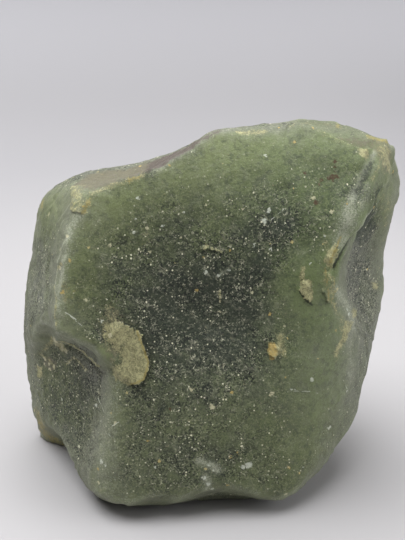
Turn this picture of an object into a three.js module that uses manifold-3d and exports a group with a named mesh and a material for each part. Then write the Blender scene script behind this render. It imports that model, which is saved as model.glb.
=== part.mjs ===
// A raw chunk of green aventurine, broken on every side: one solid, cut flat where it rests.
// Millimetres, +Z up. The broad front face looks along -Y and the stone's right is +X.
// The origin is on the surface the stone rests on, under the middle of its bounding box.
import * as THREE from "three";
import { ConvexHull } from "three/addons/math/ConvexHull.js";
import { ImprovedNoise } from "three/addons/math/ImprovedNoise.js";
import { mergeVertices } from "three/addons/utils/BufferGeometryUtils.js";
import Module from "manifold-3d";

// Driving dimensions

const CORE = new THREE.Vector3(2, -4, 36); // the whole surface can be seen from this point
const MESH_DETAIL = 20; // the ball that is pushed out to the surface has 20 * (detail + 1)^2 triangles
const EDGE_WEAR = 0.55; // how far the broken edges are worn back
const SHARP_RIDGE = 0.25; // the least parting of two breaks that the mesh follows as a ridge
const ALIGN_PASSES = 2; // how often the mesh is slid onto the ridges
const ALIGN_ERROR = 0.01; // how closely, as a share of a triangle's side
const MERGE_DISTANCE = 1e-5; // mesh points closer than this are one point
const GROUND_SIZE = 200; // the block that is cut away under the stone
const GROUND_DEPTH = 20;
const GROUND_SNAP = 0.4; // mesh points this near the resting face are put on it
const COLOUR = 0x64695a;
const ROUGHNESS = 0.55;

// The corners where three or more breaks meet. The flat breaks are the faces of the hull around them.
const CORNERS = {
  frontTop: [[-21, -12.5, 66.6], [1.3, -5, 78.1], [17.2, -4, 78], [28.4, -5, 75.6], [33.6, -10, 70.8]],
  crest: [[19.9, 2, 78.4], [23, 4, 78.6], [28.2, 4, 78]],
  rightLump: [[38.6, 1, 75.6], [40.8, 1, 73.2], [44.4, 6, 64.6]],
  rightEdge: [[41.2, 2, 39], [38.8, -2, 28.6], [36.4, -7, 19], [33.2, -13, 13.7]],
  rightFoot: [[28.4, -17, 8.8], [25, -20, 5.8], [19.5, -24, 3], [15.5, -25, 2.8]],
  frontFoot: [[11.7, -26, 3.9], [-4.9, -27.5, 4.8], [-15, -28.5, 4.4], [-19.6, -27, 4.6]],
  leftCorner: [[-23.4, -25, 5.2]],
  leftFoot: [[-40, 5, -2], [-42.4, 6, 3.3], [-41, 4, 12.3]],
  leftEdge: [[-43.2, 6, 32.5], [-39.8, 8, 44.3], [-37.7, 10, 59.7]],
  topBack: [[-34.2, 12, 62.4], [-30, 14, 64.4], [-26, 14, 65]],
  leftRidge: [[-25.6, -9.5, 66.8], [-28, -16.5, 56.9], [-29.4, -19.5, 47.8], [-30.4, -21, 40.7]],
  rightRidge: [[28.9, -16, 59.9], [25.4, -19, 52.2], [30.4, -17, 35.1]],
  back: [[-24.5, 23, 50], [3.5, 24, 58], [25.5, 21.5, 62], [-30.5, 25, 28], [1.5, 29, 30], [29.5, 24, 32]],
  backFoot: [[-24.5, 22, 4], [21.5, 20, 6]],
  underside: [[-21, -19, -2], [7, -18, -2], [18, -8, -2], [17, 13, -2], [-6, 21, -2], [-32, 15, -2]],
};

// Shell-shaped breaks. Each took the stone away down to `floor`, from the side that `out` points to,
// and left the hollow of a ball of this radius. A `wall` is a second ball that the hollow ends at.
const SCOOPS = {
  lowerLeft: {
    floor: [-28.6, -11, 25], out: [-0.72, -0.67, 0.14], radius: 75,
    wall: { centre: [-38, -28, 12], radius: 30 },
  },
  leftNotch: { floor: [-31.5, -6, 7], out: [-0.55, -0.45, -0.7], radius: 16 },
  topNotch: { floor: [33.9, 3, 74.1], out: [0.35, 0.1, 0.93], radius: 8 },
  topSaddle: { floor: [-13, 1, 67.4], out: [-0.32, 0.05, 0.95], radius: 34 },
  leftFlank: { floor: [-34.6, -6, 50], out: [-0.93, -0.3, 0.1], radius: 50 },
  rightValley: { floor: [32.5, -6, 50], out: [0.84, -0.54, 0.03], radius: 30 },
  rightWaist: { floor: [40.1, 4, 46.5], out: [1, -0.1, 0.05], radius: 26 },
  rightSide: { floor: [41, 2, 69.5], out: [0.95, -0.25, 0.1], radius: 14 },
  arch: { floor: [4.7, -25, 6.7], out: [0, -0.6, -0.8], radius: 18 },
  backBroad: { floor: [-6, 24, 40], out: [-0.2, 0.97, 0.12], radius: 90 },
  backRight: { floor: [28.5, 15, 50], out: [0.72, 0.68, 0.1], radius: 42 },
  backLeft: { floor: [-32, 18.5, 20], out: [-0.72, 0.68, -0.12], radius: 32 },
  backLow: { floor: [8, 23, 10], out: [0.25, 0.85, -0.45], radius: 45 },
  backTop: { floor: [6, 12.5, 67], out: [-0.05, 0.72, 0.7], radius: 55 },
};

// Small chips knocked off the edges: a ball of `radius` has bitten `bite` deep at the place `at`.
const CHIPS = [
  { at: [-25.5, -10.5, 67], radius: 7, bite: 0.8 },
  { at: [-27.8, -15.5, 59], radius: 5, bite: 0.6 },
  { at: [-29.3, -19, 49.5], radius: 6, bite: 0.7 },
  { at: [28, -18, 43], radius: 7, bite: 0.5 },
  { at: [36, -7.5, 21], radius: 7, bite: 0.7 },
  { at: [-9, -27.3, 5], radius: 6, bite: 0.7 },
  { at: [24, -20.5, 6], radius: 6, bite: 0.3 },
  { at: [-42.8, 6, 33], radius: 7, bite: 0.7 },
  { at: [-28, 24, 49], radius: 9, bite: 1.1 },
  { at: [9, 25.5, 56], radius: 10, bite: 1 },
  { at: [28, 25, 37], radius: 8, bite: 1 },
  { at: [-31, 24, 12], radius: 8, bite: 1 },
  { at: [14, 8, 74], radius: 9, bite: 0.8 },
  { at: [40, 4, 33], radius: 9, bite: 1 },
];

// Soft swells and hollows: where each is, how far it spreads and how far it rises.
const SWELLS = {
  frontHollow: { at: [-7, -20, 46], spread: 12, rise: -2.2 },
  frontHollowRight: { at: [12, -19, 47], spread: 12, rise: -1.8 },
  rightFacet: { at: [22, -14, 58], spread: 6, rise: 0.8 },
};

// Gentle unevenness of the breaks: [distance between bumps, height].
const UNEVENNESS = [[17, 0.5], [7, 0.3]];

const vector = (xyz) => new THREE.Vector3(...xyz);

// Each break is a function that says how far a ray from the core goes before it leaves the stone there.

function flatBreak(face) {
  const reach = face.constant - face.normal.dot(CORE);
  return (direction) => {
    const slope = face.normal.dot(direction);
    return slope > 1e-6 ? reach / slope : Infinity;
  };
}

// Where a ray from the core enters a ball and leaves it again.
function ballSpan({ centre, radius }) {
  const place = vector(centre).sub(CORE);
  return (direction) => {
    const along = direction.dot(place);
    const half = radius * radius - place.lengthSq() + along * along;
    return half > 0 ? [along - Math.sqrt(half), along + Math.sqrt(half)] : [Infinity, Infinity];
  };
}

function shellBreak({ floor, out, radius, wall }) {
  const centre = vector(out).setLength(radius).add(vector(floor)).toArray();
  const spans = [{ centre, radius }, wall ?? { centre, radius }].map(ballSpan);
  return (direction) => {
    const [bowl, limit] = spans.map((span) => span(direction));
    const reach = Math.max(bowl[0], limit[0]);
    return reach > 0 && reach < Math.min(bowl[1], limit[1]) ? reach : Infinity;
  };
}

function chipBreak({ at, radius, bite }) {
  const out = vector(at).sub(CORE).normalize();
  const floor = vector(at).addScaledVector(out, -bite);
  return shellBreak({ floor: floor.toArray(), out: out.toArray(), radius });
}

const hull = new ConvexHull().setFromPoints(Object.values(CORNERS).flat().map(vector));
const breaks = [
  ...hull.faces.map(flatBreak),
  ...Object.values(SCOOPS).map(shellBreak),
  ...CHIPS.map(chipBreak),
];

// The break that a ray from the core meets first.
function nearestBreak(direction) {
  const reaches = breaks.map((reachOf) => reachOf(direction));
  return reaches.indexOf(Math.min(...reaches));
}

// How far the worn surface is along a ray: just inside the nearest break, more so beside an edge.
function wornReach(direction) {
  const reaches = breaks.map((reachOf) => reachOf(direction));
  const nearest = Math.min(...reaches);
  const crowding = reaches.reduce((sum, reach) => sum + Math.exp((nearest - reach) / EDGE_WEAR), 0);
  return nearest - EDGE_WEAR * Math.log(crowding);
}

const noise = new ImprovedNoise();

function relief(point) {
  let rise = 0;
  for (const { at, spread, rise: height } of Object.values(SWELLS)) {
    rise += height * Math.exp(-vector(at).distanceToSquared(point) / (2 * spread * spread));
  }
  for (const [size, height] of UNEVENNESS) {
    rise += height * noise.noise(point.x / size, point.y / size, point.z / size);
  }
  return rise;
}

function surfacePoint(direction) {
  const point = direction.clone().multiplyScalar(wornReach(direction)).add(CORE);
  return point.addScaledVector(direction, relief(point));
}

// How sharply two breaks part between two directions: the gap between them over the way covered.
function sharpness(first, second, from, to) {
  const gap = breaks[second](from) - breaks[first](from) + breaks[first](to) - breaks[second](to);
  return gap / (breaks[first](from) * from.distanceTo(to));
}

// How much of the way from one direction to the other lies on the break that it starts on.
function shareOnFirst(owner, from, to) {
  let [near, far] = [0, 1];
  while (far - near > ALIGN_ERROR) {
    const middle = (near + far) / 2;
    const onFirst = nearestBreak(from.clone().lerp(to, middle).normalize()) === owner;
    [near, far] = onFirst ? [middle, far] : [near, middle];
  }
  return far;
}

// Slides the mesh points beside a ridge onto it, so that no triangle cuts across a broken edge.
function alignToRidges(directions, triangles) {
  const owners = directions.map(nearestBreak);
  const pulls = directions.map(() => []);
  for (let t = 0; t < triangles.length; t += 3) {
    for (let side = 0; side < 3; side++) {
      const a = triangles[t + side];
      const b = triangles[t + ((side + 1) % 3)];
      if (owners[a] === owners[b] || a > b) continue;
      if (sharpness(owners[a], owners[b], directions[a], directions[b]) < SHARP_RIDGE) continue;
      const share = shareOnFirst(owners[a], directions[a], directions[b]);
      const target = directions[a].clone().lerp(directions[b], share).normalize();
      pulls[share < 0.5 ? a : b].push(target);
    }
  }
  return directions.map((direction, i) => {
    if (pulls[i].length === 0) return direction;
    return pulls[i].reduce((sum, pull) => sum.add(pull), new THREE.Vector3()).normalize();
  });
}

function positionsOnly(geometry) {
  geometry.deleteAttribute("normal");
  geometry.deleteAttribute("uv");
  return mergeVertices(geometry, MERGE_DISTANCE);
}

// The stone as it broke, before it has a flat place to rest on.
function brokenStone() {
  const geometry = positionsOnly(new THREE.IcosahedronGeometry(1, MESH_DETAIL));
  const place = geometry.getAttribute("position");
  const pointAt = (_, i) => new THREE.Vector3().fromBufferAttribute(place, i);
  let directions = Array.from({ length: place.count }, pointAt);
  for (let pass = 0; pass < ALIGN_PASSES; pass++) {
    directions = alignToRidges(directions, geometry.index.array);
  }
  directions.forEach((direction, i) => {
    const point = surfacePoint(direction);
    const z = Math.abs(point.z) < GROUND_SNAP ? 0 : point.z;
    place.setXYZ(i, point.x, point.y, z);
  });
  return geometry;
}

const wasm = await Module();
wasm.setup();

function toSolid(geometry) {
  const vertProperties = Float32Array.from(geometry.getAttribute("position").array);
  const triVerts = Uint32Array.from(geometry.index.array);
  return new wasm.Manifold(new wasm.Mesh({ numProp: 3, vertProperties, triVerts }));
}

function toGeometry(solid) {
  const { vertProperties, triVerts } = solid.getMesh();
  const geometry = new THREE.BufferGeometry();
  geometry.setAttribute("position", new THREE.BufferAttribute(vertProperties, 3));
  geometry.setIndex(new THREE.BufferAttribute(triVerts, 1));
  geometry.computeVertexNormals();
  return geometry;
}

// Everything below z = 0 is cut away, which leaves the flat face that the stone rests on.
function stoneGeometry() {
  const ground = new THREE.BoxGeometry(GROUND_SIZE, GROUND_SIZE, GROUND_DEPTH);
  ground.translate(0, 0, -GROUND_DEPTH / 2);
  return toGeometry(toSolid(brokenStone()).subtract(toSolid(positionsOnly(ground))));
}

const stone = new THREE.Mesh(
  stoneGeometry(),
  new THREE.MeshStandardMaterial({ color: COLOUR, roughness: ROUGHNESS, metalness: 0 }),
);
stone.name = "stone";

const part = new THREE.Group();
part.add(stone);
export default part;
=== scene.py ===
# A raw chunk of green aventurine on a pale floor.
#
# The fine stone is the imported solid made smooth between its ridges, with the thin plates, lips, nicks
# and grain that the solid is too coarse for, and a procedural quartz material.
# Lengths are millimetres in here, and metres in Blender. +Z is up and the camera looks along +Y.
import functools
import math
from collections import namedtuple

import bmesh
import bpy
import numpy as np
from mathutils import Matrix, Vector, noise
from mathutils.bvhtree import BVHTree


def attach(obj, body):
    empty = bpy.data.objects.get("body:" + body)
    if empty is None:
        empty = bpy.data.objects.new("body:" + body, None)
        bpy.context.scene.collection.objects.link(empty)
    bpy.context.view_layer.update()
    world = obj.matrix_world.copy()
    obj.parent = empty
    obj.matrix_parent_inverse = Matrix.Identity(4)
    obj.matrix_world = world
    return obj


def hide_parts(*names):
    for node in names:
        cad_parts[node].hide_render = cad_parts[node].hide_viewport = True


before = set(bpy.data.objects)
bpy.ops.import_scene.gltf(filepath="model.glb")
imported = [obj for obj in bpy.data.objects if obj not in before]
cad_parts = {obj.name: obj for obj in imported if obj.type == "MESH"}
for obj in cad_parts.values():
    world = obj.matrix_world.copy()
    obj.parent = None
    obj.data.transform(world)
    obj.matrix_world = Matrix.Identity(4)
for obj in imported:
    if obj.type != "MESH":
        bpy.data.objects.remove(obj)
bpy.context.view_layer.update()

MM = 0.001

# --- The viewpoint ---

IMAGE_WIDTH = 405
IMAGE_HEIGHT = 540
LENS = 50.0
SENSOR = 36.0  # along the picture's long side
FOCAL_PIXELS = LENS / SENSOR * IMAGE_HEIGHT
CAMERA_TARGET = np.array([-0.3, -4.0, 47.0])
CAMERA_DISTANCE = 160.0
CAMERA_ELEVATION = math.radians(20)

FORWARD = np.array([0, math.cos(CAMERA_ELEVATION), -math.sin(CAMERA_ELEVATION)])
RIGHT = np.array([1.0, 0.0, 0.0])
UP = np.cross(RIGHT, FORWARD)
CAMERA_PLACE = CAMERA_TARGET - CAMERA_DISTANCE * FORWARD

# --- The fine mesh ---

RIDGE_ANGLE = math.radians(38)  # two faces of the solid that part by more than this meet in a ridge
WELD_DISTANCE = 0.001  # corners of the solid nearer than this are one
SUBDIVISIONS = 2
EVENING_PASSES = 14  # takes the solid's own facets out of the breaks
WEAR_PASSES = 2  # and then rounds the ridges
REST_HEIGHT = 0.02  # points lower than this lie on the resting face
REST_FADE = 1.5  # the relief grows to its full height this far above the resting face
REST_GAP = 0.01  # nothing but the resting face comes lower than this
SOFT_PASSES = 60  # rounds the ridge that runs down beside the scooped hollow
SOFT_REACH = 3.5  # and the stone this far to both sides of it
FINE_REACH = 2.2  # triangles this near to a plate's lip are halved
FINEST_REACH = 1.1  # and these once more
OUTLINE_REACH = 9.0  # an outline takes in nothing further than this from its own plane
PATH_STEP = 4  # pixels between the places that a path is cast onto the stone
SEED_SHIFT = 17.31  # sets the noises apart

# --- Marks on the stone, placed by the picture's pixels ---
# A pixel (across, down) is cast onto the stone, and from there on it is a place in space. Radii,
# widths and heights are millimetres. Strengths are shares of 1.

LEFT_RIDGE = [(64, 243), (58, 262), (56, 285), (55.5, 318), (58, 331), (55, 338)]
SCOOP_RIDGE = [(109, 376), (111, 392), (110, 410), (106, 430), (102, 450), (99, 480)]
UNDER_RIDGE = [(352, 239), (345, 248), (339, 258), (334, 267)]

# Thin plates left standing on the break. A plate is highest at its lip and runs out over the ground
# behind it; lip and ground are its outline. `edge` is how wide the lip's slope is, `run` how far the
# plate reaches back, and `skin` how much tan skin it has kept. A lip with skin is ragged.
Plate = namedtuple("Plate", "height edge run skin lip ground")
PLATES = {
    "flake": Plate(
        1, 0.15, 6, 1,
        [(117, 318), (121, 323), (128, 326), (137, 330), (141, 335), (142.5, 342), (144, 348), (147, 356),
         (150.5, 364), (147.5, 370), (145, 377), (142.5, 383), (138, 383.5), (131, 385), (127, 387)],
        [(116, 380), (108, 364), (103, 345), (106, 326)],
    ),
    "upper flake": Plate(
        0.45, 0.2, 3, 1,
        [(333, 242.5), (337.5, 248), (339, 255), (335, 261), (332.5, 267.5), (329.5, 269)],
        [(327, 264), (322, 261), (323.5, 255), (328, 252), (331, 247)],
    ),
    "lower flake": Plate(
        0.4, 0.2, 3, 0.55,
        [(333, 277), (333, 285), (335, 291), (333, 296), (330, 302), (327, 300), (325.5, 293), (322, 287)],
        [(323, 278), (324, 271), (332, 270)],
    ),
    "right island": Plate(
        0.5, 0.15, 3, 1,
        [(312, 303), (308.5, 301.5), (300.7, 293), (300, 288.5), (303, 283), (300.7, 277), (302.5, 269)],
        [(305.5, 271.5), (304.5, 278.5), (308.5, 280), (312, 285.5), (313, 294)],
    ),
    "left corner": Plate(
        0.35, 0.3, 4, 0.6,
        [(85, 214), (79, 213), (72, 212), (71.5, 200), (71.5, 187), (80, 184)],
        [(98, 184), (96, 196), (90, 206)],
    ),
    "top rim": Plate(
        0.9, 0.4, 5, 0,
        [(288, 127), (310, 129.5), (322, 135), (336, 142), (350, 148), (361, 152), (372, 150)],
        [(366, 172), (340, 176), (300, 160), (284, 140)],
    ),
    "right ledge": Plate(
        0.8, 0.6, 8, 0,
        [(396, 168), (391, 174), (385.5, 182), (377.5, 189), (373.5, 197), (369.5, 209), (363, 217),
         (352, 239)],
        [(335, 235), (328, 205), (338, 175), (355, 148), (384, 142)],
    ),
    "scoop lip": Plate(
        1.4, 0.2, 8, 0,
        [(50, 341), (56, 339), (66, 339), (77, 344), (87, 351), (95, 359), (103, 367), (108, 373)],
        [(122, 362), (110, 335), (88, 318), (60, 318), (48, 326)],
    ),
    "ochre bump": Plate(
        0.5, 0.15, 2, 1,
        [(277, 345), (272, 341.5), (269, 347), (269.5, 354), (273, 358.5), (277.5, 358)],
        [(284, 350)],
    ),
    "upper chip": Plate(
        0.3, 0.15, 2.5, 0.6,
        [(199.5, 246), (204, 250), (212, 249), (218, 251), (224, 254.5)],
        [(219, 248), (212, 246), (203, 244)],
    ),
}

# Where the break bends softly inward, or outward below a depth of 0: width, depth and path.
CREASES = {
    "right fold": (1.3, 0.35, [(284, 190), (290, 205), (296, 225), (301, 246)]),
    "left ridge": (0.5, -0.25, LEFT_RIDGE),
    "left flank": (1.2, 0.35, [(48, 262), (47, 285), (46, 312), (45, 335)]),
    "valley": (1, 0.4, [(373, 202), (368, 216), (358, 234)]),
    "under the ridge": (0.5, 0.35, UNDER_RIDGE),
    "wedge": (1, 0.4, [(372, 160), (364, 178), (356, 194)]),
    "top lump": (6, -0.6, [(306, 126), (330, 127), (350, 133)]),
    "right corner": (3, -0.5, [(376, 143), (388, 145)]),
    "left corner": (4, -0.6, [(44, 205), (42, 226)]),
    "left side": (5, -0.5, [(29, 308), (29, 336)]),
    "right side": (4, -0.6, [(385, 218), (381, 240)]),
    "foot": (4, -0.5, [(262, 493), (284, 491)]),
    "right notch": (4, 0.4, [(392, 155), (395, 180)]),
    "lower right side": (5, 0.5, [(352, 405), (343, 430)]),
    "left lobe": (6, 0.4, [(34, 368), (38, 404)]),
    "beside the valley": (1.5, 0.35, [(352, 240), (345, 262), (342, 285)]),
    "under the lip": (0.6, 0.35, [(58, 345), (67, 345), (76, 349.5), (86, 357), (94, 365), (101, 373)]),
}

# Bands of each mark along worn ridges and stained edges, and dark bands of painted shade: width, strength
# and path.
BANDS = {
    "bruised": {
        "right ridge": (0.9, 0.9, [(374, 154), (367, 168), (360, 181), (351, 200), (345, 220)]),
        "right ridge foot": (1.9, 0.9, [(349, 212), (346, 226), (341, 244)]),
        "ridge line": (0.4, 1, [(373, 153), (367, 168), (359, 184), (349, 203), (343, 222), (338, 238)]),
        "right ledge": (
            0.4, 0.8,
            [(391, 174), (385.5, 182), (377.5, 189), (373, 197), (369, 208), (362, 217), (352, 238)],
        ),
        "below the ledge": (1, 0.6, [(352, 216), (350, 228), (345, 240)]),
        "valley rim": (1.8, 0.7, [(335, 290), (343, 300), (350, 312), (354, 325)]),
        "right flank edge": (2.2, 0.45, [(350, 330), (350, 345), (352, 375)]),
        "left ridge": (1.5, 0.8, [(80, 212), (70, 228), (65, 248), (62, 268), (60, 290), (58, 315)]),
        "left ridge line": (0.5, 0.8, [(71, 225), *LEFT_RIDGE]),
        "scoop ridge": (3.2, 0.5, [(110, 385), (111, 402), (107, 425), (103, 450), (101, 480)]),
        "foot edge": (0.4, 0.6, [(250, 497), (236, 494), (225, 492), (207, 495), (184, 501)]),
        "lower scrape": (0.9, 0.9, [(199, 461), (206, 464), (213, 466), (218, 470)]),
        "lowest scrape": (0.9, 0.8, [(205, 477), (209, 484), (206, 490)]),
        "short stroke": (0.25, 0.7, [(204, 269), (208, 275)]),
        "long stroke": (0.25, 0.7, [(217, 276), (229, 269)]),
    },
    "tan": {
        "left top edge": (0.6, 0.7, [(92, 195), (104, 188), (121, 183.5), (136, 178), (144, 173.5)]),
        "right top edge": (0.7, 0.8, [(238, 131), (252, 133), (265, 132)]),
        "top rim": (0.8, 0.35, [(290, 128), (310, 130), (322, 136), (336, 143), (350, 149), (362, 152)]),
        "wedge": (0.5, 0.6, [(381, 150), (379, 160), (374, 172), (370, 180)]),
        "scoop corner": (0.5, 0.8, [(42, 352), (47, 347), (53, 340)]),
        "right ridge": (
            0.9, 0.45,
            [(326, 243), (329, 262), (327, 280), (331, 300), (340, 318), (345, 340), (336, 358)],
        ),
        "scoop lip": (0.35, 1, [(55, 337), (66, 337), (77, 342), (87, 349), (95, 357), (103, 365)]),
        "scoop ring": (0.3, 0.8, [(66, 364), (73, 357.5), (78, 361), (83, 368), (87, 370)]),
        "left ridge": (0.3, 0.9, [(61, 262), (56, 272), (54.5, 286), (56, 300), (55.5, 318), (58, 330)]),
        "cream tick": (0.5, 1, [(52, 338.5), (56, 341), (61, 345.5), (66, 351)]),
        "left lobe": (0.5, 0.8, [(40, 355), (45, 357), (50, 362), (54, 367)]),
        "right island": (0.5, 0.8, [(303, 268), (301, 280), (303, 290)]),
    },
    "ochre": {
        "left lobe": (3, 0.65, [(38, 418), (41, 429), (47, 437), (58, 442)]),
        "left ridge": (1.2, 0.45, [(64, 286), (68, 291), (67, 298)]),
        "top edge": (0.5, 0.8, [(127, 182), (133, 179), (139, 177)]),
        "right corner": (0.9, 0.7, [(368, 139), (377, 140.5), (386, 142)]),
        "upper flake": (0.4, 0.7, [(341, 236), (335, 250), (330, 262)]),
        "lower flake side": (0.3, 0.6, [(325, 268), (327, 284), (328, 298)]),
        "flake": (0.3, 0.8, [(137, 331), (141, 342), (148.5, 362), (144, 379), (131, 384)]),
        "left corner": (0.5, 0.8, [(90, 200), (87, 206), (83, 213)]),
        "lower flake": (0.4, 0.6, [(334, 280), (335, 291), (331, 300)]),
    },
    # Painted shade: dark bands where shadow falls, in the valley and the wedge, under the ridge and along
    # the flakes' edges.
    "dark": {
        "valley": (1.9, 1, [(376, 193), (372, 205), (369, 216), (363, 228)]),
        "wedge": (1, 0.7, [(372, 162), (364, 178), (356, 194)]),
        "under the ridge": (0.35, 1, UNDER_RIDGE),
        "above the flake": (0.3, 0.9, [(119, 320), (126, 324), (136, 328), (143, 334), (145, 343)]),
        "below the flake": (0.3, 0.9, [(151, 366), (148, 373), (145, 380), (141, 386)]),
        "right island": (0.3, 0.9, [(300, 292), (306, 300), (312, 305)]),
    },
    "purple": {
        "top edge": (1.6, 0.6, [(132, 176), (147, 168), (166, 159), (193, 144), (216, 130)]),
    },
}

# Patches of each mark: how softly the patch ends, its strength and its outline.
PATCHES = {
    "beige": {
        "top face": (1.5, 0.9, [
            (70, 186), (83, 178), (87, 174), (104, 170), (126, 169), (150, 160), (147, 170), (133, 177),
            (117, 184), (96, 191),
        ]),
        "wedge": (1.2, 0.65, [
            (336, 139), (352, 140), (366, 139.5), (386, 141), (392, 148), (393, 168), (384, 178),
            (377, 165), (373, 153), (359, 150), (346, 145),
        ]),
        "top lump": (1.5, 0.4, [(300, 124), (330, 123), (346, 130), (356, 133), (335, 131), (300, 128)]),
        "beside the flake": (2.5, 0.7, [
            (102, 312), (114, 302), (124, 316), (128, 335), (122, 356), (110, 362), (102, 340),
        ]),
        "left lobe": (0.5, 0.7, [(42, 358), (50, 356), (56, 362), (56, 370), (50, 372), (43, 367)]),
    },
    "tan": {
        "beside the flake": (2, 0.45, [
            (103, 306), (115, 300), (121, 318), (126, 330), (114, 350), (104, 342), (97, 322),
        ]),
        "right side": (3, 0.4, [(380, 190), (392, 186), (394, 205), (386, 225), (383, 238), (378, 225)]),
        "right corner": (3, 0.75, [(376, 145), (390, 145), (393, 168), (384, 176), (378, 165)]),
        "wedge": (0.8, 0.9, [(354, 151), (366, 152), (369, 158), (364, 163), (357, 158)]),
        "ochre bump": (0.8, 0.7, [(275, 333), (284, 332), (287, 345), (285, 357), (279, 357)]),
        "cream tick": (0.5, 1, [
            (53, 338), (57, 338.5), (60, 343), (67, 351), (65, 352.5), (60, 350), (57, 344), (53, 342),
        ]),
        "right ridge": (0.6, 0.8, [(344, 320), (354, 322), (348, 338), (336, 358), (333, 354), (341, 338)]),
        "left lobe": (0.5, 1, [(34.5, 365), (41, 367), (41, 377), (36, 378)]),
        "right flank": (0.5, 0.7, [(371, 282), (379, 282), (378, 290), (372, 289)]),
        "valley rim": (0.5, 0.7, [(352.5, 308), (357, 307), (357.5, 318), (353, 318)]),
        "middle": (0.3, 0.7, [(218, 290), (221, 290), (221.5, 303), (219, 303)]),
    },
    "ochre": {
        "top lump": (0.6, 0.7, [(334, 124), (341, 128), (341, 131), (335, 129)]),
        "left ridge": (2.5, 0.35, [(62, 284), (76, 284), (80, 300), (68, 306)]),
        "left side": (0.9, 0.6, [(43, 201), (46, 199), (45, 214), (42, 212)]),
    },
    "purple": {
        "top face edge": (0.8, 0.9, [
            (126, 179), (147, 171.5), (167, 163), (193, 148), (214, 133), (224, 130), (211, 132),
            (197, 140), (181, 149.5), (160, 158), (147, 163), (138, 167),
        ]),
    },
}

# Where the stone is clearer, dustier or greener than its shape makes it: radius, amount and centre. The
# clear zones also raise and lower the painted glow, and the zones that take clearness and dust away in the
# valley at the right are painted shade.
ZONES = {
    "clear_and_glow": [
        (15, -0.2, (215, 300)), (24, -0.3, (228, 312)), (7, -0.3, (368, 222)),
        (12, 0.1, (285, 152)), (14, 0.25, (335, 400)), (10, 0.2, (300, 445)),
        (9, 0.2, (338, 325)), (14, 0.28, (312, 345)), (12, -0.18, (322, 188)),
        (8, 0.4, (322, 130)), (9, -0.45, (160, 192)), (4, -0.3, (284, 225)),
        (6, -0.7, (364, 228)), (4, -0.8, (370, 196)), (4, -0.2, (94, 372)),
        (5, -0.2, (86, 336)), (8, 0.15, (315, 370)), (7, 0.6, (309, 286)),
        (6, 0.1, (85, 305)), (8, 0.28, (312, 216)), (12, 0.25, (220, 412)),
        (10, 0.3, (200, 228)), (6, 0.35, (382, 162)), (8, -0.25, (362, 285)),
        (4, -0.6, (350, 262)), (4, -0.5, (352, 285)),
    ],
    "dusty": [
        (9, -0.9, (75, 400)), (6, -0.3, (85, 358)), (7, -0.7, (42, 405)),
        (6, -1, (362, 230)), (8, -0.7, (388, 175)), (8, -0.3, (325, 126)),
        (12, -0.3, (42, 250)), (8, -0.6, (50, 214)), (12, 0.35, (110, 460)),
        (4, 0.5, (85, 218)), (9, 0.2, (215, 400)), (9, 0.9, (362, 290)),
        (4, 0.5, (70, 325)), (4, 0.8, (351, 262)), (5, -0.8, (366, 218)),
        (4, 1, (84, 358)), (5, 0.6, (96, 366)), (5, -0.7, (360, 205)),
        (12, 0.35, (312, 345)), (11, 0.25, (318, 400)), (4, 0.6, (353, 285)),
    ],
    "green": [(22, 1, (335, 330)), (16, 0.8, (320, 190))],
}

# Single spots that stand out, by colour: radius and centres.
SPOTS = {
    "white": {
        0.7: [(249, 465)], 0.5: [(264.5, 221)],
        0.45: [(243, 467), (329, 428), (269, 210), (208, 484), (101, 461)], 0.4: [(212, 489)],
        0.35: [(347, 391), (312, 380), (206, 272), (204, 478), (96.5, 405), (349, 314)],
        0.3: [
            (214, 470), (138, 198), (134, 232), (105, 465), (325, 236), (347, 309), (102, 322), (62, 400),
        ],
        0.28: [(219, 275), (209, 466), (162.5, 226)], 0.26: [(228, 270)],
        0.25: [(291, 390), (265, 155), (184, 212), (271, 249)],
        0.22: [(135, 219), (254, 245), (155, 467), (310, 263)],
    },
    "cream": {
        0.8: [(54.5, 340.5)], 0.75: [(58, 343.5)], 0.7: [(62, 347.5)], 0.55: [(65.5, 351)],
        0.45: [(212, 407)], 0.4: [(45, 359), (85.5, 370), (272, 394), (110, 335)],
        0.35: [
            (44.5, 364), (50, 369.5), (54, 367), (192, 390), (115, 423), (332, 212), (147, 228), (49, 364),
            (286, 494),
        ],
        0.3: [
            (74, 358.5), (69, 363), (79, 362), (313, 198), (110, 245), (150, 252), (284, 326), (49, 214),
            (99, 483), (252, 292), (67, 236), (60, 250), (60, 268), (86, 300),
        ],
        0.26: [(219.5, 291)], 0.25: [(243, 209), (181, 237), (220, 312), (385, 146)],
        0.24: [(220.5, 297), (220, 302)], 0.22: [(206, 205)],
    },
    "ochre": {
        0.85: [(272, 347), (272.5, 352)], 0.5: [(271.5, 357)], 0.38: [(196, 290)], 0.35: [(63, 292)],
        0.32: [(232, 392)],
        0.3: [(148, 441), (98, 469), (83, 206), (70, 260), (374, 207), (393, 172), (40, 431)],
        0.28: [(269.5, 314), (238, 453)],
        0.25: [
            (289, 468), (203, 257), (230, 251), (313, 128), (347, 203), (295, 142), (98, 172), (140, 166),
            (336, 330),
        ],
        0.22: [(286, 377), (228, 485), (279, 128), (170, 165)], 0.2: [(294, 188), (231, 457)],
    },
    "rust": {
        0.55: [(332.5, 177)], 0.5: [(315.5, 203)], 0.42: [(336.5, 177)], 0.38: [(321.5, 180)],
        0.36: [(334.5, 162)], 0.34: [(304.5, 173)], 0.32: [(328.5, 178)], 0.3: [(319, 185), (170, 409)],
        0.28: [(333, 181)], 0.24: [(334.5, 171), (334.5, 167)],
    },
    "grit": {0.25: [(328, 455)]},
}

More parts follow.
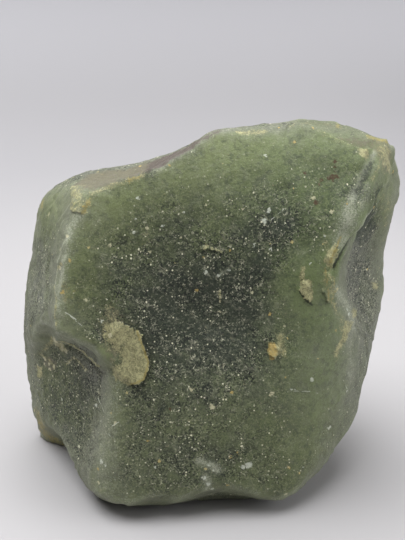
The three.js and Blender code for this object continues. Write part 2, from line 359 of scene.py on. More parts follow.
# Fine pale scratches: width and two ends.
SCRATCHES = [
    (0.12, (65, 312), (76, 319.5)), (0.08, (292, 389), (318, 393)), (0.08, (294, 391), (310, 391.5)),
    (0.08, (328, 409), (340, 410)), (0.08, (271, 220), (284, 209)), (0.08, (343, 380), (347, 389)),
    (0.09, (343, 352), (355, 328)), (0.08, (288, 467), (304, 467)), (0.07, (70, 316), (82, 326)),
    (0.10, (98, 398), (104, 412)), (0.09, (101, 420), (110, 436)), (0.10, (112, 426), (119, 422)),
    (0.08, (96, 430), (101, 445)),
]

# --- Geometry helpers ---


def sight_line(pixel):
    """The unit direction in which the camera sees a pixel."""
    across = (pixel[0] - IMAGE_WIDTH / 2) / FOCAL_PIXELS
    down = (pixel[1] - IMAGE_HEIGHT / 2) / FOCAL_PIXELS
    direction = FORWARD + across * RIGHT - down * UP
    return direction / np.linalg.norm(direction)


def place_at(tree, pixel):
    """Where on the stone the camera sees a pixel, or the nearest place beside it."""
    direction = sight_line(pixel)
    hit = tree.ray_cast(Vector(CAMERA_PLACE), Vector(direction))[0]
    if hit is None:
        hit = tree.find_nearest(Vector(CAMERA_PLACE + CAMERA_DISTANCE * direction))[0]
    return np.array(hit)


def places_along(tree, pixels):
    """The places under a path over the picture, close enough together to follow the stone."""
    corners = np.array(pixels, float)
    places = []
    for start, end in zip(corners[:-1], corners[1:]):
        count = math.ceil(math.dist(start, end) / PATH_STEP)
        places += [place_at(tree, start + (end - start) * k / count) for k in range(count)]
    return np.array([*places, place_at(tree, corners[-1])])


def smoothstep(low, high, values):
    t = np.clip((values - low) / (high - low), 0, 1)
    return t * t * (3 - 2 * t)


def noise_at(points, size, seed):
    """Smooth noise, about -1 to 1, with bumps of that size."""
    shifted = points / size + seed * SEED_SHIFT
    return np.array([noise.noise(place) for place in shifted.tolist()])


def jagged(points, size, height, seed):
    """The points pushed about by noise, which makes an outline around them ragged."""
    push = [noise_at(points, size, seed + k) for k in range(3)]
    return points + height * np.stack(push, axis=1)


def path_distance(points, path):
    """How far each point is from a path."""
    nearest = np.full(len(points), np.inf)
    for start, end in zip(path[:-1], path[1:]):
        length = np.linalg.norm(end - start)
        way = (end - start) / length
        run = np.clip((points - start) @ way, 0, length)
        gap = np.linalg.norm(points - start - run[:, None] * way, axis=1)
        nearest = np.minimum(nearest, gap)
    return nearest


def path_closeness(points, path, width):
    """1 on a path, and fading softly to 0 on both sides of it."""
    return np.exp(-((path_distance(points, path) / width) ** 2))


def facing_of(corners, centre):
    """The direction that a closed outline faces, which is towards the camera."""
    spokes = corners - centre
    facing = np.cross(spokes, np.roll(spokes, -1, axis=0)).sum(axis=0)
    return facing * (-np.sign(facing @ FORWARD) / np.linalg.norm(facing))


def is_inside(flat, corners):
    """Which of the flat points are inside a flat outline."""
    inside = np.zeros(len(flat), bool)
    for a, b in zip(corners, np.roll(corners, -1, axis=0)):
        crosses = (a[1] > flat[:, 1]) != (b[1] > flat[:, 1])
        rise = np.where(crosses, (flat[:, 1] - a[1]) / (b[1] - a[1] + 1e-12), 0)
        inside ^= crosses & (flat[:, 0] < a[0] + rise * (b[0] - a[0]))
    return inside


def depth_inside(points, tree, pixels):
    """How deep inside an outline on the stone each point is. Outside it is negative."""
    outline = places_along(tree, [*pixels, pixels[0]])
    corners = outline[:-1]
    centre = corners.mean(axis=0)
    facing = facing_of(corners, centre)
    across = np.cross(UP, facing)
    across /= np.linalg.norm(across)
    axes = np.stack([across, np.cross(facing, across)])
    inside = is_inside((points - centre) @ axes.T, (corners - centre) @ axes.T)
    inside &= np.abs((points - centre) @ facing) < OUTLINE_REACH
    gap = path_distance(points, outline)
    return np.where(inside, gap, -gap)


# --- The mesh as arrays ---


def edges_of(mesh):
    ends = np.empty(len(mesh.edges) * 2, np.int32)
    mesh.edges.foreach_get("vertices", ends)
    return ends.reshape(-1, 2)


def vectors_of(collection, name):
    vectors = np.empty(len(collection) * 3, np.float32)
    collection.foreach_get(name, vectors)
    return vectors.reshape(-1, 3).astype(float)


def points_of(mesh):
    return vectors_of(mesh.vertices, "co")


def normals_of(mesh):
    return vectors_of(mesh.vertex_normals, "vector")


def set_points(mesh, points):
    mesh.vertices.foreach_set("co", points.astype(np.float32).ravel())
    mesh.update()


def values_of(mesh, name):
    values = np.empty(len(mesh.vertices), np.float32)
    mesh.attributes[name].data.foreach_get("value", values)
    return values.astype(float)


def set_values(mesh, name, values):
    """Writes a number for each point, from 0 to 1, for the material to read."""
    attribute = mesh.attributes.get(name) or mesh.attributes.new(name, "FLOAT", "POINT")
    attribute.data.foreach_set("value", np.clip(values, 0, 1).astype(np.float32))


def both_ways(edges):
    """The starts and the ends of the edges, each taken in both directions."""
    return edges.T.ravel(), edges[:, ::-1].T.ravel()


def neighbour_mean(values, starts, ends):
    count = len(values)
    degree = np.maximum(np.bincount(starts, minlength=count), 1)
    columns = values.reshape(count, -1).T
    total = np.stack([np.bincount(starts, column[ends], count) for column in columns], axis=1)
    return (total / degree[:, None]).reshape(values.shape)


def smoothed(values, edges, passes):
    """Numbers or points, evened out over their neighbours."""
    starts, ends = both_ways(edges)
    for _ in range(passes):
        values = (values + neighbour_mean(values, starts, ends)) / 2
    return values


def evened(points, edges, is_ridge, passes):
    """Smooths the breaks, and the ridges along their own line. Corners stay."""
    ridge_degree = np.bincount(edges[is_ridge].ravel(), minlength=len(points))
    is_corner = (ridge_degree > 0) & (ridge_degree != 2)
    starts, ends = both_ways(edges)
    counts = np.concatenate([is_ridge, is_ridge]) | (ridge_degree[starts] == 0)
    starts, ends = starts[counts], ends[counts]
    for _ in range(passes):
        mean = neighbour_mean(points, starts, ends)
        points = np.where(is_corner[:, None], points, (points + mean) / 2)
    return points


def tree_of(mesh):
    bm = bmesh.new()
    bm.from_mesh(mesh)
    tree = BVHTree.FromBMesh(bm)
    bm.free()
    return tree


# --- The light that comes through the stone, painted into its colour as glow ---

RAY_START = 0.3  # how deep under the surface the rays to the sky start
LIGHT_REACH = 9.0  # after this way through the stone about a third of the light is left
SKY_RAYS = 48
SKY_LOWEST = 0.05  # how high above level the lowest rays point


def sky_directions():
    """Directions spread evenly over the sky, by the golden angle."""
    turn = math.pi * (3 - math.sqrt(5))
    directions = []
    for k in range(SKY_RAYS):
        height = SKY_LOWEST + (1 - SKY_LOWEST) * (k + 0.5) / SKY_RAYS
        reach = math.sqrt(1 - height * height)
        directions.append((reach * math.cos(turn * k), reach * math.sin(turn * k), height))
    return np.array(directions)


def light_through(tree, place, normal, directions):
    """How much light from above comes through the stone to a place on its surface."""
    total = 0.0
    inner = Vector(place - RAY_START * normal)
    for direction in directions:
        cosine = -direction @ normal
        if cosine <= 0:
            continue
        distance = tree.ray_cast(inner, Vector(direction))[3]
        if distance is not None:
            total += cosine * math.exp(-distance / LIGHT_REACH)
    return total / len(directions)


def mark_thin_places(bm):
    """Gives each point of the solid the light that comes through the stone to it."""
    bm.normal_update()
    tree = BVHTree.FromBMesh(bm)
    layer = bm.verts.layers.float.new("thin")
    directions = sky_directions()
    for vertex in bm.verts:
        vertex[layer] = light_through(tree, np.array(vertex.co), np.array(vertex.normal), directions)


# --- Making the fine mesh ---


def subdivide(bm, edges):
    bmesh.ops.subdivide_edges(bm, edges=edges, cuts=1, use_grid_fill=True)
    bmesh.ops.triangulate(bm, faces=[face for face in bm.faces if len(face.verts) > 3])


def solid_copy(node):
    """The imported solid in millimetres, with its ridges marked sharp."""
    bm = bmesh.new()
    bm.from_mesh(node.data)
    bmesh.ops.scale(bm, vec=(1 / MM,) * 3, verts=bm.verts)
    bmesh.ops.remove_doubles(bm, verts=bm.verts, dist=WELD_DISTANCE)
    for edge in bm.edges:
        edge.smooth = edge.calc_face_angle(0) < RIDGE_ANGLE
    return bm


def subdivided_solid(node):
    """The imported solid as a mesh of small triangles, and which of its edges lie on a ridge."""
    bm = solid_copy(node)
    mark_thin_places(bm)
    for _ in range(SUBDIVISIONS):
        subdivide(bm, bm.edges[:])
    is_ridge = np.array([not edge.smooth for edge in bm.edges])
    for element in [*bm.edges, *bm.faces]:
        element.smooth = True
    mesh = bpy.data.meshes.new("fine_stone")
    bm.to_mesh(mesh)
    bm.free()
    return mesh, is_ridge


def soften_scoop_ridge(mesh):
    """Rounds the ridge that runs down beside the scooped hollow."""
    tree, points = tree_of(mesh), points_of(mesh)
    rounded = smoothed(points, edges_of(mesh), SOFT_PASSES)
    away = path_distance(points, places_along(tree, SCOOP_RIDGE))
    share = smoothstep(SOFT_REACH, SOFT_REACH / 2, away)
    set_points(mesh, points + share[:, None] * (rounded - points))


def smooth_stone(node):
    """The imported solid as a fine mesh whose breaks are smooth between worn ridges."""
    mesh, is_ridge = subdivided_solid(node)
    points, edges = points_of(mesh), edges_of(mesh)
    resting = points[:, 2] < REST_HEIGHT
    points = evened(points, edges, is_ridge, EVENING_PASSES)
    points = smoothed(points, edges, WEAR_PASSES)
    points[resting, 2] = 0
    set_points(mesh, points)
    soften_scoop_ridge(mesh)
    return mesh


def refine_near(mesh, paths, reach):
    """Halves the triangles that are near any of the paths."""
    points = points_of(mesh)
    near = np.any([path_distance(points, path) < reach for path in paths], axis=0)
    bm = bmesh.new()
    bm.from_mesh(mesh)
    bm.verts.ensure_lookup_table()
    chosen = [edge for edge in bm.edges if near[edge.verts[0].index] and near[edge.verts[1].index]]
    subdivide(bm, chosen)
    bm.to_mesh(mesh)
    bm.free()


# --- Relief ---

GRAIN_LAYERS = ((4.0, 0.10, 1), (1.7, 0.06, 2), (0.8, 0.035, 3))  # size, height and seed
LIP_RAGS = ((1.1, 0.5, 3), (0.4, 0.36, 7))  # size, height and seed
NICK_SIZE = 2.6
NICK_DEPTH = 0.5
TERRACE_SIZE = 13.0
TERRACE_WAVER = 0.3  # the share of finer noise in the noise that the terraces follow
TERRACE_STEP = 0.3  # of that noise
TERRACE_HEIGHT = 0.32
TERRACE_FLAT = 0.78  # the share of a terrace that is flat
FRONT_CALM = 0.8  # the share of the terraces that the front lacks
FRONT_FACING = np.array([0.0, -0.96, 0.28])  # the way the broad front face looks
FRONT_EDGE = (0.55, 0.92)  # how far a point faces that way where the front starts and is full
FRONT_PASSES = 10  # how far around a point the way it faces is averaged
CONVEXITY_PASSES = 14  # how far around a point its bulge or hollow is measured
WORN_BULGE = (0.03, 0.3)  # how far a point bulges where the wear starts and is full
DEEP_HOLLOW = (0.03, 0.25)  # how far it lies back where the hollow starts and is full


def ragged_edges(points):
    """The points as the plates' outlines see them."""
    for size, height, seed in LIP_RAGS:
        points = jagged(points, size, height, seed)
    return points


def plate_rise(points, edge_points, tree, plate):
    """A thin plate, from its lip back to where it runs out."""
    depth = depth_inside(edge_points, tree, plate.lip + plate.ground)
    on_plate = smoothstep(-plate.edge / 2, plate.edge / 2, depth)
    run_out = path_closeness(points, places_along(tree, plate.lip), plate.run)
    ground = places_along(tree, [plate.lip[-1], *plate.ground, plate.lip[0]])
    run_out *= smoothstep(0, plate.run / 3, path_distance(points, ground))
    return plate.height * on_plate * run_out


def crease_rise(points, tree):
    rise = np.zeros(len(points))
    for width, depth, path in CREASES.values():
        rise -= depth * path_closeness(points, places_along(tree, path), width)
    return rise


def terrace_rise(points):
    """Low curved steps, the way a break jumps from one layer of the stone to the next."""
    field = noise_at(points, TERRACE_SIZE, 11)
    field += TERRACE_WAVER * noise_at(points, TERRACE_SIZE / 3, 12)
    level = field / TERRACE_STEP
    floor = np.floor(level)
    return TERRACE_HEIGHT * (floor + smoothstep(TERRACE_FLAT, 1.0, level - floor) - level)


def grain_rise(points):
    """The fine unevenness of a break through quartz grains."""
    return sum(height * noise_at(points, size, seed) for size, height, seed in GRAIN_LAYERS)


def nick_rise(points, wear):
    """Small nicks in the worn ridges."""
    return -NICK_DEPTH * wear * smoothstep(0, 0.5, noise_at(points, NICK_SIZE, 5))


def convexity_of(points, normals, edges):
    """How far each point bulges out of its surroundings, in millimetres."""
    return ((points - smoothed(points, edges, CONVEXITY_PASSES)) * normals).sum(axis=1)


def front_share(normals, edges):
    """1 on the broad front face, 0 on the sides and the back."""
    return smoothstep(*FRONT_EDGE, smoothed(normals, edges, FRONT_PASSES) @ FRONT_FACING)


def add_shape_marks(mesh):
    """Writes how worn, hollow and turned away from the front the surface is. The material paints shade into
    the hollow places.
    """
    points, normals, edges = points_of(mesh), normals_of(mesh), edges_of(mesh)
    convexity = convexity_of(points, normals, edges)
    set_values(mesh, "wear", smoothstep(*WORN_BULGE, convexity))
    set_values(mesh, "hollow", smoothstep(*DEEP_HOLLOW, -convexity))
    set_values(mesh, "dusty", 1 - front_share(normals, edges))


def add_relief(mesh, tree):
    """Moves the surface in and out."""
    points, normals = points_of(mesh), normals_of(mesh)
    rise = grain_rise(points)
    rise += terrace_rise(points) * (1 - FRONT_CALM * front_share(normals, edges_of(mesh)))
    rise += nick_rise(points, values_of(mesh, "wear"))
    rise += crease_rise(points, tree)
    ragged = ragged_edges(points)
    for plate in PLATES.values():
        rise += plate_rise(points, ragged if plate.skin else points, tree, plate)
    fade = smoothstep(0, REST_FADE, points[:, 2])
    moved = points + (rise * fade)[:, None] * normals
    moved[:, 2] = np.where(points[:, 2] > 0, np.maximum(moved[:, 2], REST_GAP), 0)
    set_points(mesh, moved)


# --- Colour marks ---

# The light that comes through the stone is painted into its colour as a clearer, glowing green.
THIN_GAIN = 22.0  # how strongly the light that comes through clears the stone
THIN_PASSES = 6  # evens that light out
CLEAR_EVERYWHERE = 0.28  # how clear the thickest stone is
SKIN_EDGE = (-0.2, 0.3)  # the skin grows to its full share between these depths in a plate's outline
SKIN_END = (0.5, 1.1)  # it thins out between these shares of the plate's run
SKIN_LOSS = 0.9  # and loses this share there


def zone_share(points, tree, zones):
    """Soft round zones that add to a value or take from it."""
    share = np.zeros(len(points))
    for radius, amount, pixel in zones:
        away = np.linalg.norm(points - place_at(tree, pixel), axis=1)
        share += amount * np.exp(-((away / radius) ** 2))
    return share


def band_share(points, tree, bands):
    """How much of a mark its bands leave at each point."""
    shares = [
        strength * path_closeness(points, places_along(tree, path), width)
        for width, strength, path in bands
    ]
    return np.max(shares, axis=0)


def patch_share(points, tree, patches):
    """How much of a mark its patches leave at each point. It is half at a patch's outline."""
    shares = [
        strength * smoothstep(-softness, softness, depth_inside(points, tree, outline))
        for softness, strength, outline in patches
    ]
    return np.max(shares, axis=0)


def skin_share(points, tree):
    """How much of their tan skin the plates have kept at each point."""
    share = np.zeros(len(points))
    ragged = ragged_edges(points)
    for plate in PLATES.values():
        depth = depth_inside(ragged, tree, plate.lip + plate.ground)
        from_lip = path_distance(points, places_along(tree, plate.lip)) / plate.run
        kept = 1 - SKIN_LOSS * smoothstep(*SKIN_END, from_lip)
        share = np.maximum(share, plate.skin * smoothstep(*SKIN_EDGE, depth) * kept)
    return share


def mark_shares(points, tree):
    """How much there is of each mark at each point."""
    shares = {name: patch_share(points, tree, PATCHES[name].values()) for name in PATCHES}
    for name, bands in BANDS.items():
        shares[name] = np.maximum(shares.get(name, 0), band_share(points, tree, bands.values()))
    shares["tan"] = np.maximum(shares["tan"], skin_share(points, tree))
    return shares


def add_colour_marks(mesh, tree):
    """Writes the stone's clearness with the painted glow of the light through it, where it is dusty and
    green, and where each mark is.
    """
    points = points_of(mesh)
    thin = smoothed(values_of(mesh, "thin"), edges_of(mesh), THIN_PASSES)
    ground = {
        "clear_and_glow": CLEAR_EVERYWHERE + THIN_GAIN * thin,
        "dusty": values_of(mesh, "dusty"),
        "green": 0.0,
    }
    for name, zones in ZONES.items():
        set_values(mesh, name, ground[name] + zone_share(points, tree, zones))
    for name, share in mark_shares(points, tree).items():
        set_values(mesh, name, share)


# --- Material ---


class Shader:
    """Short names for the nodes of one material. Places are millimetres."""

    def __init__(self, name):
        self.material = bpy.data.materials.new(name)
        self.material.use_nodes = True
        self.tree = self.material.node_tree
        self.surface = self.tree.nodes["Principled BSDF"]
        coordinates = self.tree.nodes.new("ShaderNodeTexCoord").outputs["Object"]
        self.place = self.vector("SCALE", coordinates, scale=1 / MM)

    def put(self, value, socket):
        """Links a node's output to a socket, or sets the socket to a plain value."""
        if isinstance(value, bpy.types.NodeSocket):
            self.tree.links.new(value, socket)
        else:
            socket.default_value = value

    def give(self, name, value):
        """Gives the surface a value."""
        self.put(value, self.surface.inputs[name])

    def node(self, kind, *values, **settings):
        """A new node with those settings, its first inputs linked or set to the values."""
        node = self.tree.nodes.new("ShaderNode" + kind)
        for name, setting in settings.items():
            setattr(node, name, setting)
        for value, socket in zip(values, node.inputs):
            self.put(value, socket)
        return node

    def math(self, operation, *values, clamp=False):
        return self.node("Math", *values, operation=operation, use_clamp=clamp).outputs[0]

    def times(self, first, second, clamp=False):
        return self.math("MULTIPLY", first, second, clamp=clamp)

    def vector(self, operation, *values, scale=None):
        node = self.node("VectorMath", *values, operation=operation)
        if scale is not None:
            self.put(scale, node.inputs["Scale"])
        is_number = operation in ("DISTANCE", "DOT_PRODUCT", "LENGTH")
        return node.outputs["Value" if is_number else "Vector"]

    def step(self, value, low, high, start=0.0, end=1.0):
        """Goes smoothly from start to end while the value goes from low to high."""
        numbers = (value, low, high, start, end)
        return self.node("MapRange", *numbers, interpolation_type="SMOOTHSTEP").outputs["Result"]

    def mix(self, share, first, second):
        node = self.node("Mix", share, data_type="RGBA")
        for colour, socket in ((first, node.inputs[6]), (second, node.inputs[7])):
            self.put((*colour, 1) if isinstance(colour, tuple) else colour, socket)
        return node.outputs[2]

    def attribute(self, name):
        return self.node("Attribute", attribute_name=name).outputs["Fac"]

    def noise(self, size, detail, roughness=0.5, output="Fac"):
        """Noise from 0 to 1, with bumps of that size."""
        node = self.node("TexNoise", self.place)
        node.inputs["Scale"].default_value = 1 / size
        node.inputs["Detail"].default_value = detail
        node.inputs["Roughness"].default_value = roughness
        return node.outputs[output]

    def swing(self, reach, *noise_settings):
        """Noise from -reach to reach."""
        return self.math("MULTIPLY_ADD", self.noise(*noise_settings), 2 * reach, -reach)

    def pushed(self, size, reach, detail=2.0):
        """The place, pushed about by noise of that size and up to that reach."""
        centred = self.vector("SUBTRACT", self.noise(size, detail, output="Color"), (0.5, 0.5, 0.5))
        return self.vector("ADD", self.place, self.vector("SCALE", centred, scale=2 * reach))

    def cells(self, size, feature="F1", place=None):
        node = self.node("TexVoronoi", self.place if place is None else place, feature=feature)
        node.inputs["Scale"].default_value = 1 / size
        return node.outputs

    def parts(self, colour):
        return self.node("SeparateColor", colour).outputs

    def specks(self, size, share, radius, place=None):
        """Grains in that share of the cells: how bright the grain is, and 0 between the grains."""
        found = self.cells(size, place=place)
        chance, width, tone = self.parts(found["Color"])
        edge = self.times(self.math("MULTIPLY_ADD", width, 0.7, 0.3), radius / size)
        inside = self.step(found["Distance"], edge, self.times(edge, 0.7))
        chosen = self.math("LESS_THAN", chance, share)
        return self.times(self.times(inside, chosen), tone)

    def nearest(self, place, spots):
        """How far the place is from the nearest spot, in that spot's own radii."""
        gaps = [
            self.math("DIVIDE", self.vector("DISTANCE", place, tuple(centre)), radius)
            for radius, centre in spots
        ]
        return functools.reduce(lambda one, other: self.math("MINIMUM", one, other), gaps)

    def segment_gap(self, place, start, end):
        """How far the place is from a straight line between two places."""
        way = end - start
        offset = self.vector("SUBTRACT", place, tuple(start))
        along = self.vector("DOT_PRODUCT", offset, tuple(way / (way @ way)))
        along = self.times(along, 1.0, clamp=True)
        foot = self.vector("SCALE", tuple(way), scale=along)
        return self.vector("LENGTH", self.vector("SUBTRACT", offset, foot))


# The stone's deep green where it is thick, and also the colour of the painted shade.
DEEP_AND_SHADE = (0.042, 0.053, 0.033)
GREEN = (0.136, 0.162, 0.070)
# The painted glow where light comes through the stone.
PAINTED_GLOW = (0.192, 0.228, 0.096)
UNTINTED = (1.0, 1.0, 1.0)
GREENER = (0.94, 1.03, 0.94)
DUSTY = (0.198, 0.206, 0.154)
# The colour of the shade painted into the hollows.
HOLLOW_SHADE = (0.075, 0.084, 0.066)
WORN = (0.38, 0.40, 0.30)
OLIVE = (0.165, 0.16, 0.08)
TAN = (0.50, 0.475, 0.25)
BEIGE = (0.160, 0.147, 0.095)
OCHRE = (0.33, 0.28, 0.10)
PURPLE = (0.105, 0.082, 0.068)
DARK_GRAIN = (0.015, 0.020, 0.014)
# Pale grains, and partly painted glints.
PALE_GRAIN_AND_GLINT = (0.76, 0.74, 0.54)
YELLOW_GRAIN = (0.50, 0.42, 0.18)
SPOT_COLOURS = {
    "white": (0.62, 0.65, 0.54),
    "cream": (0.60, 0.57, 0.37),
    "ochre": (0.52, 0.39, 0.13),
    "rust": (0.075, 0.036, 0.014),
    "grit": (0.015, 0.015, 0.012),
}

# Noises: size, detail and roughness.
BROAD_PATCHES = (15, 3, 0.6)
CLOUDS = (6, 4, 0.6)
MOTTLES = (1.3, 4, 0.65)
VEILS = (2.6, 6, 0.72)
SHADES = (1.6, 5, 0.7)
DUST = (5, 4, 0.6)
CLUMPS = (4.0, 4, 0.65)
STROKE_PATCHES = (1.1, 2, 0.5)
PALE_CLOUDS = (2.4, 5, 0.75)
ROUGH_EDGE = (1.2, 5, 0.7)
FINE_EDGE = (0.33, 3, 0.8)
SKIN_LAYERS = (2.2, 4, 0.6)
BACK_PATCHES = (9, 5, 0.65)
SPOT_GAPS = (0.4, 3, 0.7)
GLOSS_PATCHES = (2.5, 3, 0.5)
SURFACE_BUMPS = (0.6, 5, 0.75)

# Grains: the size of the cells they lie in, the share of the cells that hold one, and its radius.
GRAIN_SIZE = 0.27
PITS = (0.75, 0.6, 0.36)
FINE_SPECKS = (0.62, 0.24, 0.22)
SPECKS = (1.3, 0.45, 0.24)
FLECKS = (3.4, 0.45, 0.40)
YELLOW_FLECKS = (3.2, 0.35, 0.42)
STROKE_SIZE = 1.4

BACK_START = 8.0  # how far behind the middle of the stone the skin on its back starts
BACK_FULL = 16.0  # and where there is most of it


def body_colour(s, clear_and_glow):
    """The stone itself: dark where it is thick, with painted glow where light gets in, dusty on the sides,
    and painted shade in its hollows.
    """
    clear_and_glow = s.math("MULTIPLY_ADD", s.swing(0.8, *BROAD_PATCHES), s.attribute("dusty"), clear_and_glow)
    clear_and_glow = s.math("ADD", s.swing(0.4, *CLOUDS), clear_and_glow)
    clear_and_glow = s.math("ADD", s.swing(0.3, *MOTTLES), clear_and_glow)
    colour = s.mix(s.step(clear_and_glow, 0.0, 0.55), DEEP_AND_SHADE, GREEN)
    colour = s.mix(s.step(clear_and_glow, 0.5, 1.05), colour, PAINTED_GLOW)
    colour = s.vector("MULTIPLY", colour, s.mix(s.attribute("green"), UNTINTED, GREENER))
    veil = s.step(s.noise(*VEILS), 0.45, 0.75, 0.0, 0.4)
    colour = s.mix(s.times(veil, s.step(clear_and_glow, 0.0, 0.5, 0.3, 1.0)), colour, DUSTY)
    colour = s.mix(s.step(s.noise(*SHADES), 0.54, 0.3, 0.0, 0.6), colour, DEEP_AND_SHADE)
    dust = s.times(s.attribute("dusty"), s.step(s.noise(*DUST), 0.2, 0.7, 0.35, 0.85))
    colour = s.mix(dust, colour, DUSTY)
    # Painted shade: the hollows are darkened towards slate grey.
    return s.mix(s.step(s.attribute("hollow"), 0.2, 1.0, 0.0, 0.5), colour, HOLLOW_SHADE)


def dark_grains(s, tone):
    """Dark grains and pits, 0 to 1."""
    pits = s.specks(*PITS, s.pushed(0.5, 0.2, 3))
    return s.math("MAXIMUM", s.step(tone, 0.65, 0.1), s.times(pits, 1.5, clamp=True))


def pale_strokes(s):
    """Short pale strokes along the edges of the grains, 0 to 1."""
    gap = s.cells(STROKE_SIZE, "DISTANCE_TO_EDGE", s.pushed(1.0, 0.8))["Distance"]
    shown = s.step(s.noise(*STROKE_PATCHES), 0.54, 0.62, 0.0, 0.6)
    return s.times(s.step(gap, 0.045, 0.0), shown)


def pale_layers(s, tone):
    """The pale grains, strokes and clouds, whose specks are partly painted glints of mica: where each is,
    and how strongly it shows.
    """
    return [
        (s.step(tone, 0.8, 1.0, 0.0, 0.2), 1.0),
        (pale_strokes(s), 1.0),
        (s.step(s.noise(*PALE_CLOUDS), 0.54, 0.74, 0.0, 0.25), 1.0),
        (s.specks(*FINE_SPECKS), 2.3),
        (s.specks(*SPECKS, s.pushed(0.4, 0.25, 4)), 2.6),
        (s.specks(*FLECKS, s.pushed(0.5, 0.5, 4)), 1.6),
    ]


def grained(s, colour, clear_and_glow):
    """Quartz grains of every tone, in clumps, the pale specks partly painted glints. Clearer stone with
    more painted glow shows few of them.
    """
    clumps = s.step(s.noise(*CLUMPS), 0.35, 0.65, 0.4, 1.1)
    amount = s.times(clumps, s.step(clear_and_glow, 0.1, 0.9, 1.2, 0.15))
    tone = s.parts(s.cells(GRAIN_SIZE)["Color"])[0]
    colour = s.mix(s.times(dark_grains(s, tone), amount), colour, DARK_GRAIN)
    for layer, strength in pale_layers(s, tone):
        share = s.times(s.times(layer, amount), strength, clamp=True)
        colour = s.mix(share, colour, PALE_GRAIN_AND_GLINT)
    yellow = s.specks(*YELLOW_FLECKS, s.pushed(0.5, 0.3, 4))
    return s.mix(s.times(yellow, 2.0, clamp=True), colour, YELLOW_GRAIN)


def bruised(s, colour, rough, fine):
    """Worn and bruised ridges: a pale bloom with chalky patches in it."""
    worn = s.math("MAXIMUM", s.times(s.attribute("wear"), 0.45), s.attribute("bruised"))
    colour = s.mix(s.times(worn, 0.38), colour, WORN)
    chalk = s.math("MULTIPLY_ADD", fine, 2.0, s.math("ADD", worn, s.times(rough, 0.4)))
    return s.mix(s.step(chalk, 0.4, 1.1, 0.0, 0.85), colour, WORN)


def tan_layers(s, rough):
    """The tan skin's colour, in thin lighter and darker layers."""
    layers = s.math("PINGPONG", s.times(s.noise(*SKIN_LAYERS), 9.0), 0.5)
    return s.mix(s.step(s.math("MULTIPLY_ADD", rough, 0.8, layers), -0.3, 0.75), OLIVE, TAN)


def back_skin(s):
    """Patches of tan skin on the back, 0 to 1."""
    behind = s.step(s.vector("DOT_PRODUCT", s.place, (0.0, 1.0, 0.0)), BACK_START, BACK_FULL)
    return s.times(behind, s.step(s.noise(*BACK_PATCHES), 0.58, 0.66))


def filmed(s, colour):
    """Bruised ridges and the films of colour over them, one of them painted shade, their edges broken up by
    noise.
    """
    rough = s.swing(1.0, *ROUGH_EDGE)
    fine = s.swing(1.0, *FINE_EDGE)
    ragged = s.math("MULTIPLY_ADD", fine, 0.9, s.times(rough, 0.7))
    colour = bruised(s, colour, rough, fine)
    films = [
        # the dark bands are painted shade
        (s.attribute("dark"), DEEP_AND_SHADE),
        (s.attribute("purple"), PURPLE),
        (s.attribute("beige"), BEIGE),
        (s.math("MAXIMUM", s.attribute("tan"), back_skin(s)), tan_layers(s, rough)),
        (s.attribute("ochre"), OCHRE),
    ]
    for mark, film in films:
        share = s.step(s.math("ADD", ragged, mark), 0.3, 0.8, 0.0, 0.9)
        colour = s.mix(share, colour, film)
    return colour


def spotted(s, colour, spots, scratches):
    """The single spots and scratches that stand out."""
    ragged = s.pushed(0.6, 0.7, 5)
    patchy = s.step(s.noise(*SPOT_GAPS), 0.35, 0.55, 0.45, 1.0)
    for name, places in spots.items():
        inside = s.times(patchy, s.step(s.nearest(ragged, places), 1.35, 0.8))
        colour = s.mix(s.times(inside, 0.9), colour, SPOT_COLOURS[name])
    for width, start, end in scratches:
        inside = s.step(s.segment_gap(s.pushed(1.0, 0.15), start, end), width, width / 2, 0.0, 0.8)
        colour = s.mix(inside, colour, SPOT_COLOURS["white"])
    return colour


def aventurine(spots, scratches):
    s = Shader("aventurine")
    clear_and_glow = s.attribute("clear_and_glow")
    colour = grained(s, body_colour(s, clear_and_glow), clear_and_glow)
    colour = spotted(s, filmed(s, colour), spots, scratches)
    s.give("Base Color", colour)
    s.give("Roughness", s.step(s.noise(*GLOSS_PATCHES), 0.3, 0.7, 0.45, 0.68))
    s.give("Specular IOR Level", 0.38)
    s.give("Subsurface Weight", 0.12)
    s.give("Subsurface Radius", (1.2 * MM, 1.6 * MM, 0.9 * MM))
    s.give("Subsurface Scale", 1.0)
    bump = s.node("Bump")
    bump.inputs["Distance"].default_value = MM
    s.put(s.times(s.noise(*SURFACE_BUMPS), 0.2), bump.inputs["Height"])
    s.give("Normal", bump.outputs["Normal"])
    return s.material


# --- The stone ---


def add_object(name, data):
    added = bpy.data.objects.new(name, data)
    bpy.context.scene.collection.objects.link(added)
    return added


def make_stone():
    """The dressed stone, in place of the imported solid."""
    mesh = smooth_stone(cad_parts["stone"])
    tree = tree_of(mesh)
    lips = [places_along(tree, plate.lip) for plate in PLATES.values()]
    for reach in (FINE_REACH, FINEST_REACH):
        refine_near(mesh, lips, reach)
    add_shape_marks(mesh)
    add_colour_marks(mesh, tree)
    add_relief(mesh, tree)
    tree = tree_of(mesh)
    spots = {
        kind: [(radius, place_at(tree, pixel)) for radius in radii for pixel in radii[radius]]
        for kind, radii in SPOTS.items()
    }
    scratches = [(width, place_at(tree, start), place_at(tree, end)) for width, start, end in SCRATCHES]
    set_points(mesh, points_of(mesh) * MM)
    mesh.materials.append(aventurine(spots, scratches))
    stone = add_object("aventurine_stone", mesh)
    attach(stone, "root")
    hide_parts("stone")


# --- Studio, light and camera ---

# The studio's sizes are metres.
FLOOR_RADIUS = 0.25
WALL_BEND = 0.95
WALL_TOP = 1.3
BEND_STEPS = 24
STUDIO_SIDES = 64

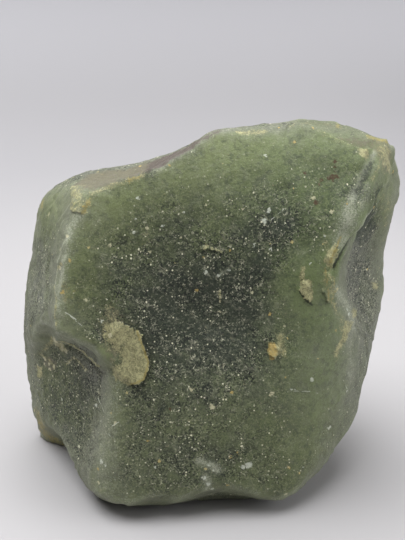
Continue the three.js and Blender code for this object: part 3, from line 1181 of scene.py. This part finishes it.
# The paper's colours, with painted shade around the bend and at the right and painted light up the far
# wall, and the distances in millimetres over which one turns into the next.
NEAR_PAPER = (0.430, 0.420, 0.424)
SHADED_MIDDLE_PAPER = (0.385, 0.378, 0.388)
LIT_FAR_PAPER = (0.485, 0.480, 0.500)
FRONT_PAPER = (0.06, 0.06, 0.06)
NEAR_TO_MIDDLE = (90.0, 350.0)
MIDDLE_TO_FAR = (430.0, 690.0)
TO_THE_FRONT = (-150.0, -420.0)
TO_THE_RIGHT = (40.0, 300.0)
# Painted shade: the paper darkens towards the right.
RIGHT_SHADE_SHARE = 0.85  # how light the paper is at the right

# Lamps: name, place, target and size in metres, power and colour.
LAMPS = [
    ("key", (-0.15, 0.03, 0.75), (0, -0.1, 0), 0.9, 12.0, (0.98, 0.985, 1.0)),
    ("fill", (0.6, -0.1, 0.25), (0, 0, 0.04), 0.5, 2.2, (0.97, 0.98, 1.0)),
]
ROOM_COLOUR = (0.93, 0.91, 0.89, 1)
ROOM_LIGHT = 0.34


def graded_paper():
    """Pale paper with painted shade around the bend and at the right, painted light up the far wall, and
    dark behind the camera.
    """
    s = Shader("studio")
    away = s.vector("LENGTH", s.place)
    across = s.vector("DOT_PRODUCT", s.place, (1.0, 0.0, 0.0))
    along = s.vector("DOT_PRODUCT", s.place, (0.0, 1.0, 0.0))
    colour = s.mix(s.step(away, *NEAR_TO_MIDDLE), NEAR_PAPER, SHADED_MIDDLE_PAPER)
    colour = s.vector("SCALE", colour, scale=s.step(across, *TO_THE_RIGHT, 1.0, RIGHT_SHADE_SHARE))
    colour = s.mix(s.step(away, *MIDDLE_TO_FAR), colour, LIT_FAR_PAPER)
    colour = s.mix(s.step(along, *TO_THE_FRONT), colour, FRONT_PAPER)
    s.give("Base Color", colour)
    s.give("Roughness", 0.9)
    s.give("Specular IOR Level", 0.1)
    return s.material


def studio_profile():
    """From the middle of the floor to the top of the wall: radius and height."""
    turns = [math.pi / 2 * k / BEND_STEPS for k in range(BEND_STEPS + 1)]
    bend = [
        (FLOOR_RADIUS + WALL_BEND * math.sin(turn), WALL_BEND * (1 - math.cos(turn))) for turn in turns
    ]
    return [(0.0, 0.0), *bend, (FLOOR_RADIUS + WALL_BEND, WALL_TOP)]


def make_studio():
    """A round pale floor that bends up into a wall on every side."""
    bm = bmesh.new()
    points = [bm.verts.new((radius, 0, height)) for radius, height in studio_profile()]
    lines = [bm.edges.new(pair) for pair in zip(points[:-1], points[1:])]
    bmesh.ops.spin(
        bm, geom=points + lines, cent=(0, 0, 0), axis=(0, 0, 1), angle=2 * math.pi,
        steps=STUDIO_SIDES, use_merge=True,
    )
    bmesh.ops.remove_doubles(bm, verts=bm.verts, dist=1e-6)
    for face in bm.faces:
        face.smooth = True
    mesh = bpy.data.meshes.new("studio")
    bm.to_mesh(mesh)
    bm.free()
    mesh.materials.append(graded_paper())
    add_object("studio", mesh)


def make_lamp(name, place, target, size, power, colour):
    light = bpy.data.lights.new(name, "AREA")
    light.shape = "DISK"
    light.size = size
    light.energy = power
    light.color = colour
    lamp = add_object(name, light)
    lamp.location = place
    lamp.rotation_euler = (Vector(target) - Vector(place)).to_track_quat("-Z", "Y").to_euler()


def make_world():
    world = bpy.data.worlds.new("studio")
    world.use_nodes = True
    background = world.node_tree.nodes["Background"]
    background.inputs["Color"].default_value = ROOM_COLOUR
    background.inputs["Strength"].default_value = ROOM_LIGHT
    bpy.context.scene.world = world


def make_camera():
    data = bpy.data.cameras.new("camera")
    data.lens = LENS
    data.sensor_width = SENSOR
    data.clip_start = 0.01
    data.clip_end = 20
    camera = add_object("camera", data)
    camera.location = Vector(CAMERA_PLACE * MM)
    camera.rotation_euler = Vector(FORWARD).to_track_quat("-Z", "Y").to_euler()
    bpy.context.scene.camera = camera


bpy.context.scene.view_settings.view_transform = "Standard"
make_camera()
make_world()
make_studio()
for lamp in LAMPS:
    make_lamp(*lamp)
make_stone()
